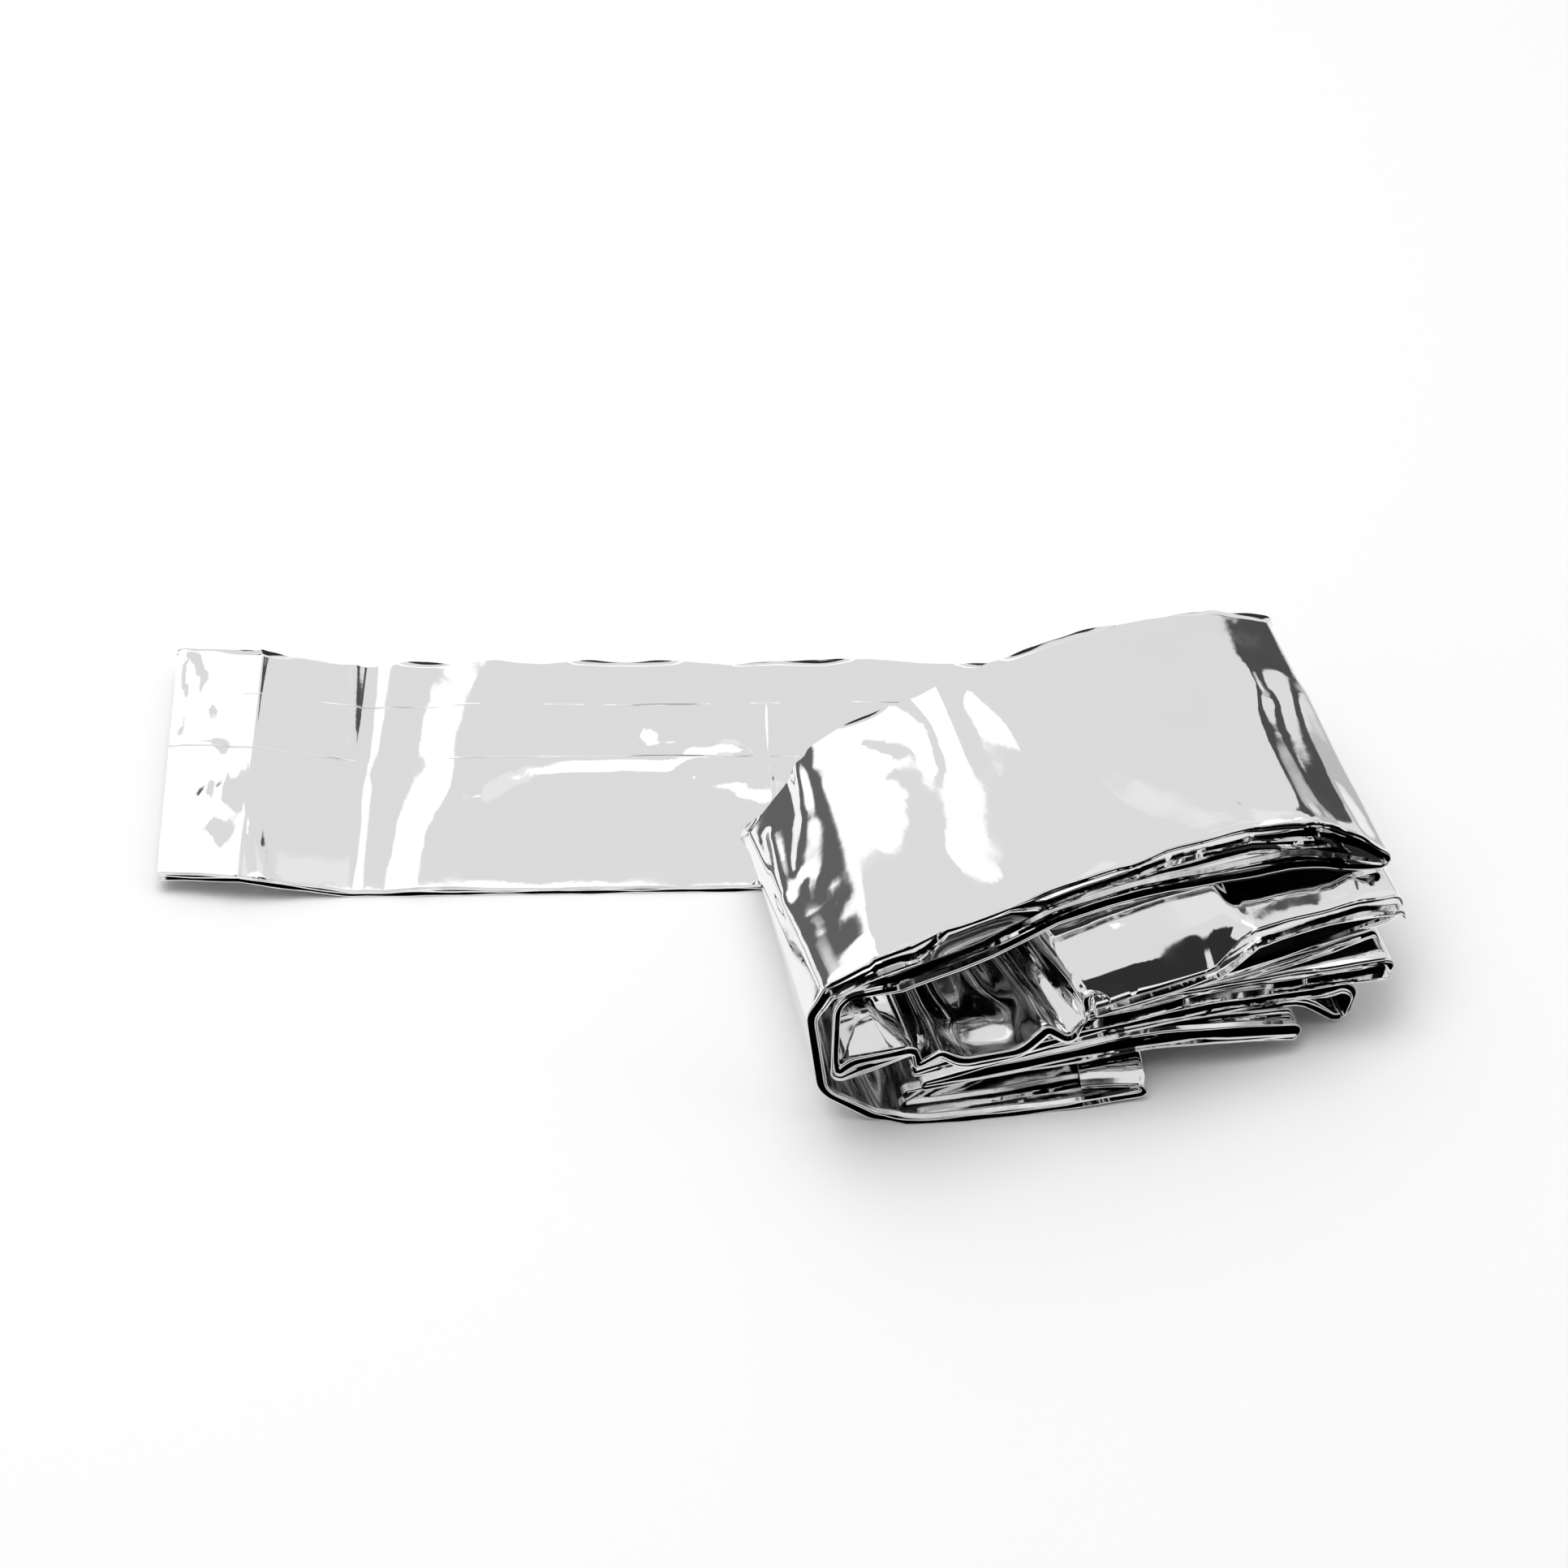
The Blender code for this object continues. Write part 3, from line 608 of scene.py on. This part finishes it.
class SheetMesh:
    """Gathers the vertices, faces and film coordinates of the sheet."""

    def __init__(self):
        self.points, self.film, self.faces = [], [], []

    def add(self, point, film):
        """Add one vertex and return its number."""
        self.points.append(point)
        self.film.append(film)
        return len(self.points) - 1

    def face(self, corners):
        """Add one face."""
        self.faces.append(corners)


def ply_numbers(sheet, strip, ply, points):
    """Number the vertices of one ply: station by station, and column by column where they exist."""
    fine = np.zeros(strip.count, bool)
    for shown in SHOWN:
        if shown.ply == ply:
            fine |= strip.span(shown.start, shown.end)
    numbers = []
    for station in range(strip.count):
        columns = range(LAST_COLUMN + 1) if fine[station] else COARSE
        row = {}
        for column in columns:
            share = COLUMNS[column] / STRIP_WIDTH
            unfolded = ply + (1.0 - share if ply % 2 == 0 else share)
            film = (strip.run[station], unfolded * STRIP_WIDTH)
            row[column] = sheet.add(points[station, column], film)
        numbers.append(row)
    return numbers


def join_stations(sheet, here, there, flip):
    """Faces between two stations of one ply, each of which may be fine or coarse."""
    shared = sorted(set(here) & set(there))
    for low, high in zip(shared, shared[1:]):
        first = [here[column] for column in sorted(here) if low <= column <= high]
        second = [there[column] for column in sorted(there) if low <= column <= high]
        corners = first + second[::-1]
        sheet.face(corners[::-1] if flip else corners)


def film_object(sheet, name):
    """The sheet as a Blender object, with film coordinates in metres."""
    mesh = bpy.data.meshes.new(name)
    points = (np.array(sheet.points) - FOOTPRINT_CENTRE) * MM
    mesh.from_pydata(points.tolist(), [], sheet.faces)
    layer = mesh.uv_layers.new(name="film")
    film = np.array(sheet.film) * MM
    corners = np.empty(len(mesh.loops), dtype=np.int32)
    mesh.loops.foreach_get("vertex_index", corners)
    layer.data.foreach_set("uv", film[corners].ravel())
    mesh.shade_smooth()
    obj = bpy.data.objects.new(name, mesh)
    bpy.context.scene.collection.objects.link(obj)
    return obj


def build_sheet(strip):
    """The whole folded sheet: sixteen plies joined by lips at the near and back edges."""
    sheet = SheetMesh()
    relief = surface_relief(strip)
    plies = []
    for ply in range(PLIES):
        points = ply_points(strip, ply, follow(strip, relief, ply))
        plies.append(ply_numbers(sheet, strip, ply, points))
    for ply, numbers in enumerate(plies):
        for here, there in zip(numbers, numbers[1:]):
            join_stations(sheet, here, there, flip=ply % 2 == 1)
    for ply in range(PLIES - 1):
        near = ply % 2 == 0
        column = 0 if near else LAST_COLUMN
        pair = ply // 2 if near else (ply + 1) // 2
        points = lip_points(strip, pair, near, follow(strip, relief, ply))
        edge = (ply + 1.0) * STRIP_WIDTH
        tips = [sheet.add(point, (run, edge)) for point, run in zip(points, strip.run)]
        above, below = ([row[column] for row in plies[side]] for side in (ply, ply + 1))
        for i in range(strip.count - 1):
            for left, right in (above, tips), (tips, below):
                corners = [left[i], right[i], right[i + 1], left[i + 1]]
                sheet.face(corners if near else corners[::-1])
    return film_object(sheet, "film_sheet")


# ---------------------------------------------------------------- material

def math_node(nodes, links, operation, first, second=None):
    """Socket of a Math node, whose inputs are sockets or numbers."""
    node = nodes.new("ShaderNodeMath")
    node.operation = operation
    for socket, value in zip(node.inputs, (first, second)):
        if isinstance(value, (int, float)):
            socket.default_value = value
        elif value is not None:
            links.new(value, socket)
    return node.outputs[0]


def map_range(nodes, links, value, source, target=(0.0, 1.0), interpolation="LINEAR"):
    """Socket of a Map Range node."""
    node = nodes.new("ShaderNodeMapRange")
    node.interpolation_type = interpolation
    for name, number in zip(("From Min", "From Max", "To Min", "To Max"), source + target):
        node.inputs[name].default_value = number
    links.new(value, node.inputs["Value"])
    return node.outputs["Result"]


def noise(nodes, links, vector, scale, detail):
    """Socket of a Noise Texture node."""
    node = nodes.new("ShaderNodeTexNoise")
    node.inputs["Scale"].default_value = scale
    node.inputs["Detail"].default_value = detail
    links.new(vector, node.inputs["Vector"])
    return node.outputs["Fac"]


FILM_COLOUR = (0.88, 0.88, 0.883, 1.0)
# Scuffs: scale and detail of their noise, the range of it that shows, and their roughness
SCUFF_NOISE = (60.0, 5.0)
SCUFF_RANGE = (0.45, 0.75)
SCUFF_ROUGHNESS = (0.03, 0.14)
# Crinkles: scale and detail of the noise over the film, and its height in metres
CRINKLES = ((30.0, 2.0, 0.0006), (140.0, 2.0, 0.00006))
# Lines that older folds left along the sheet, as far as OLD_FOLD_END from its loose end, in
# metres: distance from the back edge, half width and height.  They are worn away in patches.
OLD_FOLDS = (0.019, 0.043)
OLD_FOLD_END = 0.33
OLD_FOLD_WIDTH = 0.00045
OLD_FOLD_HEIGHT = 0.00035
WORN_NOISE = (22.0, 2.0)
WORN_RANGE = (0.46, 0.58)


def film_material():
    """Mirror-bright metallised film with a fine crinkle, old fold lines and faint scuffs."""
    material = bpy.data.materials.new("metallised_film")
    material.use_nodes = True
    nodes, links = material.node_tree.nodes, material.node_tree.links
    shader = nodes["Principled BSDF"]
    shader.inputs["Base Color"].default_value = FILM_COLOUR
    shader.inputs["Metallic"].default_value = 1.0
    film_map = nodes.new("ShaderNodeUVMap")
    film_map.uv_map = "film"
    film = film_map.outputs["UV"]
    scuffs = noise(nodes, links, film, *SCUFF_NOISE)
    haze = map_range(nodes, links, scuffs, SCUFF_RANGE, SCUFF_ROUGHNESS)
    links.new(haze, shader.inputs["Roughness"])

    def math_of(operation, first, second=None):
        return math_node(nodes, links, operation, first, second)

    parts = []
    for scale, detail, strength in CRINKLES:
        parts.append(math_of("MULTIPLY", noise(nodes, links, film, scale, detail), strength))
    split = nodes.new("ShaderNodeSeparateXYZ")
    links.new(film, split.inputs[0])
    from_back = math_of("PINGPONG", split.outputs["Y"], STRIP_WIDTH * MM)
    worn = map_range(nodes, links, noise(nodes, links, film, *WORN_NOISE), WORN_RANGE)
    before_end = math_of("LESS_THAN", split.outputs["X"], OLD_FOLD_END)
    for old_fold in OLD_FOLDS:
        gap = math_of("ABSOLUTE", math_of("SUBTRACT", from_back, old_fold))
        across, height = (OLD_FOLD_WIDTH, 0.0), (0.0, OLD_FOLD_HEIGHT)
        line = map_range(nodes, links, gap, across, height, "SMOOTHSTEP")
        parts.append(math_of("MULTIPLY", math_of("MULTIPLY", line, worn), before_end))
    heights = parts[0]
    for part in parts[1:]:
        heights = math_of("ADD", heights, part)
    bump = nodes.new("ShaderNodeBump")
    bump.inputs["Strength"].default_value = 1.0
    bump.inputs["Distance"].default_value = 1.0
    links.new(heights, bump.inputs["Height"])
    links.new(bump.outputs["Normal"], shader.inputs["Normal"])
    return material


# ---------------------------------------------------------------- stage, light and camera

# Metres, but for the sensor's width in millimetres
CAMERA_DISTANCE = 1.41
CAMERA_ELEVATION = math.radians(45.0)
FOCAL_PIXELS = 5600.0
IMAGE_PIXELS = 1932.0
SENSOR_WIDTH = 36.0
FLOOR_HALF = 4.0
FLOOR_COLOUR = (0.95, 0.95, 0.95, 1.0)
FLOOR_ROUGHNESS = 0.9
FLOOR_SPECULAR = 0.1
LIGHT_AT = (-0.3, 0.3, 1.6)
LIGHT_AIM = (0.0, 0.0, 0.0)
LIGHT_SIZE = (1.4, 1.4)
LIGHT_POWER = 14.0
# Mirror reflections between the layers: enough to light the pits, few enough to keep them dark
GLOSSY_BOUNCES = 8


def aim(obj, target):
    """Turn a light, camera or panel so that its -Z axis points at the target."""
    direction = Vector(target) - obj.location
    obj.rotation_euler = direction.to_track_quat("-Z", "Y").to_euler()


def add_camera():
    """Camera that looks down at the blanket from the front."""
    target = Vector(-FOOTPRINT_CENTRE * MM)
    data = bpy.data.cameras.new("camera")
    data.sensor_width = SENSOR_WIDTH
    data.lens = FOCAL_PIXELS / IMAGE_PIXELS * SENSOR_WIDTH
    camera = bpy.data.objects.new("camera", data)
    offset = Vector((0.0, -math.cos(CAMERA_ELEVATION), math.sin(CAMERA_ELEVATION)))
    camera.location = target + offset * CAMERA_DISTANCE
    aim(camera, target)
    bpy.context.scene.collection.objects.link(camera)
    bpy.context.scene.camera = camera


def add_area(name, location, target, size, power):
    """Soft rectangular light."""
    data = bpy.data.lights.new(name, "AREA")
    data.shape = "RECTANGLE"
    data.size, data.size_y = size
    data.energy = power
    light = bpy.data.objects.new(name, data)
    light.location = location
    aim(light, target)
    light.visible_glossy = False
    bpy.context.scene.collection.objects.link(light)


def add_floor():
    """Plain pale floor."""
    mesh = bpy.data.meshes.new("floor")
    corners = [(x * FLOOR_HALF, y * FLOOR_HALF, 0) for x, y in ((-1, -1), (1, -1), (1, 1), (-1, 1))]
    mesh.from_pydata(corners, [], [(0, 1, 2, 3)])
    floor = bpy.data.objects.new("floor", mesh)
    bpy.context.scene.collection.objects.link(floor)
    material = bpy.data.materials.new("floor_white")
    material.use_nodes = True
    shader = material.node_tree.nodes["Principled BSDF"]
    shader.inputs["Base Color"].default_value = FLOOR_COLOUR
    shader.inputs["Roughness"].default_value = FLOOR_ROUGHNESS
    shader.inputs["Specular IOR Level"].default_value = FLOOR_SPECULAR
    floor.data.materials.append(material)


# Patches of the studio that the film mirrors: azimuth from the back wall towards the right and
# elevation of the middle, half sizes and soft edge, all in degrees, and brightness
Patch = namedtuple("Patch", "name azimuth elevation half_azimuth half_elevation edge brightness")

WALL_BRIGHTNESS = 0.80
PATCHES = (
    Patch("front_glow", 16.0, 56.0, 9.0, 8.5, 4.0, 0.90),
    Patch("behind_camera", 160.0, 15.0, 49.0, 47.0, 4.0, 0.03),
    Patch("right_window", 60.0, 35.0, 16.0, 30.0, 3.0, 0.86),
    Patch("right_flag", 28.0, 20.0, 5.5, 19.0, 2.0, 0.08),
    Patch("right_flag_foot", 36.0, 0.0, 8.0, 12.0, 6.0, 0.55),
    Patch("left_window", -46.0, 48.0, 32.0, 28.0, 1.5, 1.16),
    Patch("left_flag", -52.0, 6.0, 31.0, 14.0, 9.0, 0.13),
    Patch("side_flag", -92.0, 24.0, 12.0, 26.0, 2.0, 0.1),
    Patch("ceiling_window", 0.0, 67.0, 42.0, 6.5, 2.0, 1.3),
)


def patch_mask(nodes, links, angle, *degrees):
    """Socket that is 1 where an angle is within half of the middle, the short way round."""
    middle, half, edge = (math.radians(value) for value in degrees)
    gap = math_node(nodes, links, "ABSOLUTE", math_node(nodes, links, "SUBTRACT", angle, middle))
    other_way = math_node(nodes, links, "SUBTRACT", 2.0 * math.pi, gap)
    gap = math_node(nodes, links, "MINIMUM", gap, other_way)
    ends = (half + edge / 2.0, half - edge / 2.0)
    return map_range(nodes, links, gap, ends, interpolation="SMOOTHSTEP")


def add_world():
    """Pale studio wall with the bright windows and dark flags that the film mirrors."""
    world = bpy.data.worlds.new("studio")
    world.use_nodes = True
    nodes, links = world.node_tree.nodes, world.node_tree.links
    direction = nodes.new("ShaderNodeTexCoord").outputs["Generated"]
    split = nodes.new("ShaderNodeSeparateXYZ")
    links.new(direction, split.inputs[0])
    azimuth = math_node(nodes, links, "ARCTAN2", split.outputs["X"], split.outputs["Y"])
    elevation = math_node(nodes, links, "ARCSINE", split.outputs["Z"])
    brightness = WALL_BRIGHTNESS
    for patch in PATCHES:
        sideways = patch_mask(nodes, links, azimuth, patch.azimuth, patch.half_azimuth, patch.edge)
        upright = patch_mask(
            nodes, links, elevation, patch.elevation, patch.half_elevation, patch.edge
        )
        mix = nodes.new("ShaderNodeMix")
        links.new(math_node(nodes, links, "MULTIPLY", sideways, upright), mix.inputs["Factor"])
        if isinstance(brightness, float):
            mix.inputs["A"].default_value = brightness
        else:
            links.new(brightness, mix.inputs["A"])
        mix.inputs["B"].default_value = patch.brightness
        brightness = mix.outputs["Result"]
    background = nodes["Background"]
    background.inputs["Color"].default_value = (1.0, 1.0, 1.0, 1.0)
    links.new(brightness, background.inputs["Strength"])
    bpy.context.scene.world = world


bpy.context.scene.view_settings.view_transform = "Standard"
bpy.context.scene.cycles.glossy_bounces = GLOSSY_BOUNCES
strip = Strip()
sheet = build_sheet(strip)
sheet.data.materials.append(film_material())
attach(sheet, "root")
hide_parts("foil_blanket")
add_floor()
add_world()
add_area("overhead", LIGHT_AT, LIGHT_AIM, LIGHT_SIZE, LIGHT_POWER)
add_camera()

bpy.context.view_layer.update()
